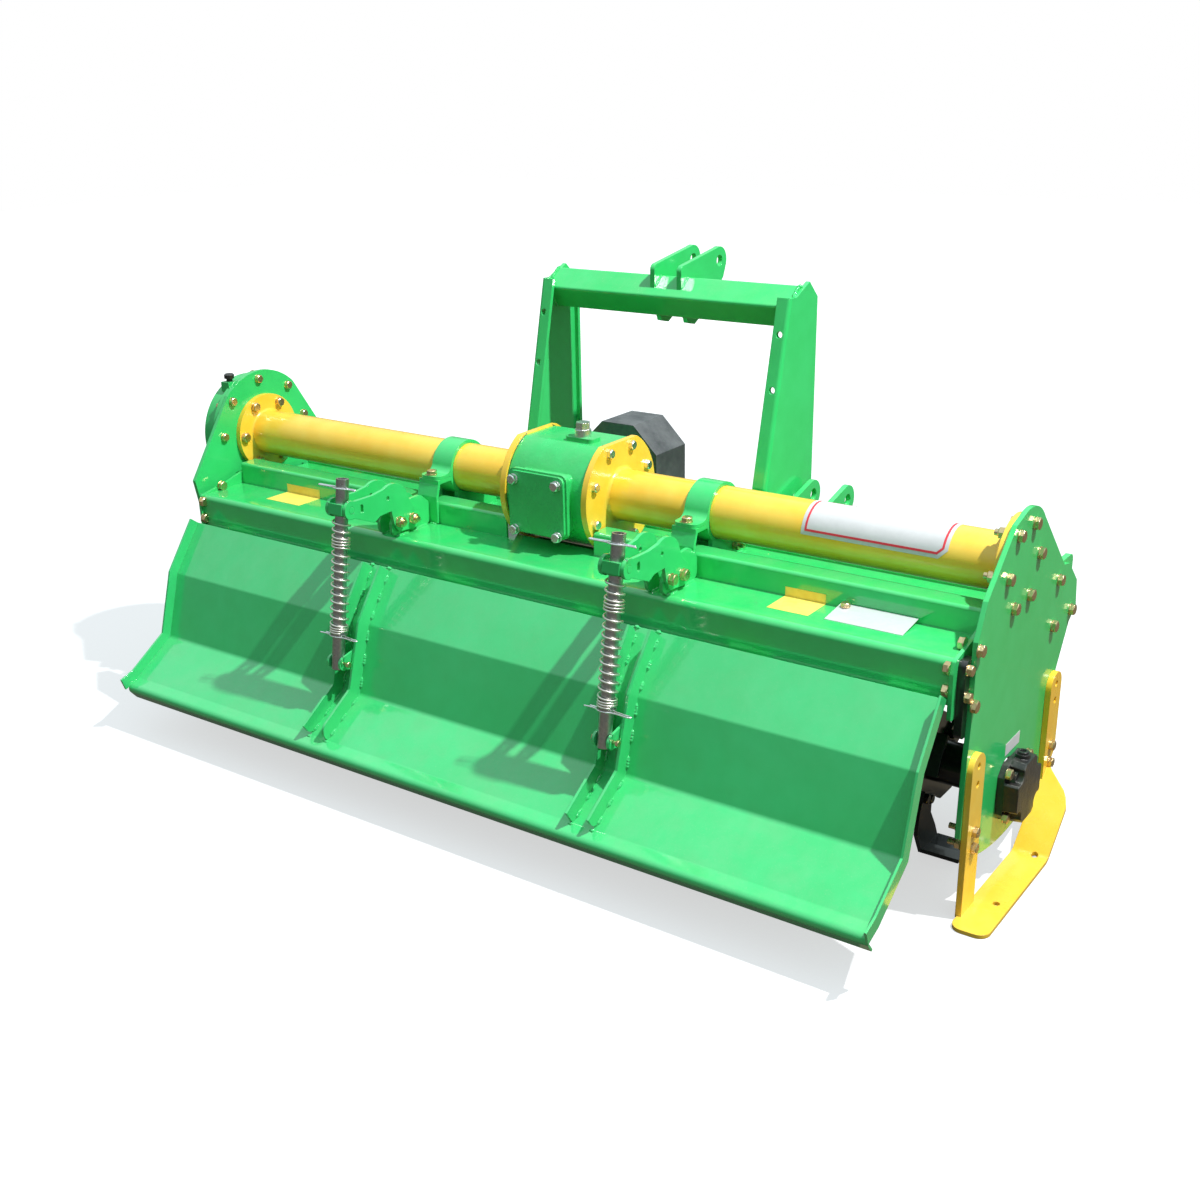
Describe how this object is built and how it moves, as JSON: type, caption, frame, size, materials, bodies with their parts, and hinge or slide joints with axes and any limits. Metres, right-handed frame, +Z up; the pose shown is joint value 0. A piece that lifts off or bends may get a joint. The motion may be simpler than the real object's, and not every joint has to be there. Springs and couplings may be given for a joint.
{
  "type": "rotary tiller",
  "caption": "Tractor-mounted rotary tiller with a bladed rotor under a folded hood, a side gear drive, a headstock with hitch lugs and a hinged trailing board pressed down by sprung rods.",
  "frame": {"origin": "on the ground, midway along and across the parked machine's box, 6 mm ahead of being below the carrying tube", "axes": "+X to the machine's right, +Y forward in the direction of travel, +Z up"},
  "size_m": [2.214, 1.1361, 1.123],
  "materials": {
    "green": "glossy bright green enamel",
    "yellow": "glossy warm yellow enamel",
    "black": "semi-gloss black paint",
    "galvanised": "dull zinc plating",
    "steel": "bright machined steel",
    "plastic": "dark grey moulded plastic"
  },
  "bodies": {
    "frame": {"hood": "green", "hood_end_left": "green", "hood_end_right": "green", "side_plate_left": "green", "side_plate_right": "green", "front_beam": "green", "front_apron": "green", "strut_arms_left": "green", "strut_arms_right": "green", "strut_bracket_left": "green", "strut_bracket_right": "green", "gearbox": "green", "gearbox_cover": "green", "gear_case": "green", "mast_post_left": "green", "mast_post_right": "green", "mast_beam": "green", "top_link_lugs": "green", "lower_hitch_left": "green", "lower_hitch_right": "green", "clamp_strap_left": "green", "clamp_strap_right": "green", "clamp_saddle_left": "green", "clamp_saddle_right": "green", "axle_tube_left": "yellow", "axle_tube_right": "yellow", "skid_left": "yellow", "skid_right": "yellow", "spacer_bar_left": "black", "spacer_bar_right": "black", "bearing_cap": "black", "breather": "black", "hinge_rod": "galvanised", "filler_plug": "steel", "pto_guard": "plastic"},
    "rotor": {"rotor": "black"},
    "input": {"input_shaft": "steel"},
    "board": {"trailing_board": "green"},
    "trunnion_right": {"trunnion_right": "green", "spring_right": "galvanised"},
    "trunnion_left": {"trunnion_left": "green", "spring_left": "galvanised"},
    "rod_right": {"rod_right": "galvanised"},
    "rod_left": {"rod_left": "galvanised"}
  },
  "joints": [
    {"name": "rotor_spin", "type": "hinge", "parent": "frame", "child": "rotor", "pos_m": [0, 0, 0.208], "axis": [1, 0, 0], "continuous": true},
    {"name": "input_spin", "type": "hinge", "parent": "frame", "child": "input", "pos_m": [0, 0.2, 0.65], "axis": [0, 1, 0], "continuous": true},
    {"name": "board_hinge", "type": "hinge", "parent": "frame", "child": "board", "pos_m": [0, -0.2625, 0.455], "axis": [-1, 0, 0], "range_deg": [-6, 30]},
    {"name": "trunnion_right_turn", "type": "hinge", "parent": "frame", "child": "trunnion_right", "pos_m": [0.366, -0.381, 0.638], "axis": [-1, 0, 0], "range_deg": [-5, 18]},
    {"name": "rod_right_slide", "type": "slide", "parent": "trunnion_right", "child": "rod_right", "axis": [0, 0.145, 0.9894], "range_m": [-0.02, 0.09], "deforming": ["spring_right"]},
    {"name": "trunnion_left_turn", "type": "hinge", "parent": "frame", "child": "trunnion_left", "pos_m": [-0.366, -0.381, 0.638], "axis": [-1, 0, 0], "range_deg": [-5, 18]},
    {"name": "rod_left_slide", "type": "slide", "parent": "trunnion_left", "child": "rod_left", "axis": [0, 0.145, 0.9894], "range_m": [-0.02, 0.09], "deforming": ["spring_left"]}
  ],
  "couplings": [
    {"joint": "input_spin", "follows": "rotor_spin", "ratio": -2.45},
    {"joint": "trunnion_right_turn", "follows": "board_hinge", "ratio": 0.542},
    {"joint": "rod_right_slide", "follows": "board_hinge", "m_per_rad": 0.1606},
    {"joint": "trunnion_left_turn", "follows": "board_hinge", "ratio": 0.542},
    {"joint": "rod_left_slide", "follows": "board_hinge", "m_per_rad": 0.1606}
  ]
}
